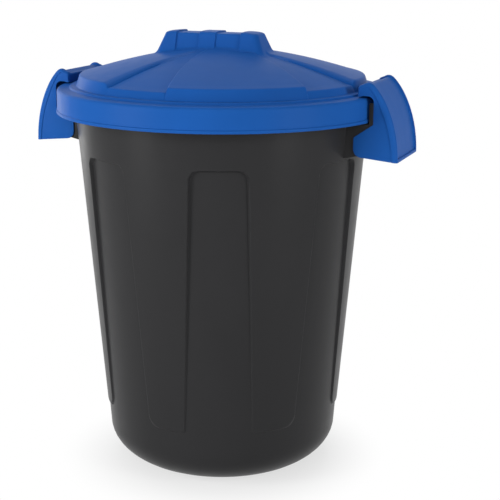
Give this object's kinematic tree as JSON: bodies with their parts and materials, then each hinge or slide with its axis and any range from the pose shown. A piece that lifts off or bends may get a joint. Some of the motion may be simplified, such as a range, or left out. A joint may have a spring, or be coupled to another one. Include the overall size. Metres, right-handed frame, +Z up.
{
  "type": "trash can",
  "caption": "Tapered round bucket with recessed side panels, a domed lift-off lid with a moulded grip, and swinging side handles that hook over the lid's rim.",
  "frame": {"origin": "centre of the bucket's flat base, on the floor", "axes": "+Z up along the bucket's axis, +X out through the right handle, -Y the front, which the picture sees turned about 22 degrees"},
  "size_m": [0.52, 0.4496, 0.602],
  "materials": {
    "bucket": "satin moulded polypropylene, near black",
    "lid": "satin moulded polypropylene, strong blue",
    "handle_right": "satin moulded polypropylene, strong blue",
    "handle_left": "satin moulded polypropylene, strong blue"
  },
  "bodies": {
    "bucket": {"bucket": "bucket"},
    "lid": {"lid": "lid"},
    "handle_right": {"handle_right": "handle_right"},
    "handle_left": {"handle_left": "handle_left"}
  },
  "joints": [
    {"name": "lid_lift", "type": "slide", "parent": "bucket", "child": "lid", "axis": [0, 0, 1], "range_m": [0, 0.4]},
    {"name": "handle_right_swing", "type": "hinge", "parent": "bucket", "child": "handle_right", "pos_m": [0.213, 0, 0.464], "axis": [0, 1, 0], "range_deg": [0, 85]},
    {"name": "handle_left_swing", "type": "hinge", "parent": "bucket", "child": "handle_left", "pos_m": [-0.213, 0, 0.464], "axis": [0, -1, 0], "range_deg": [0, 85]}
  ]
}
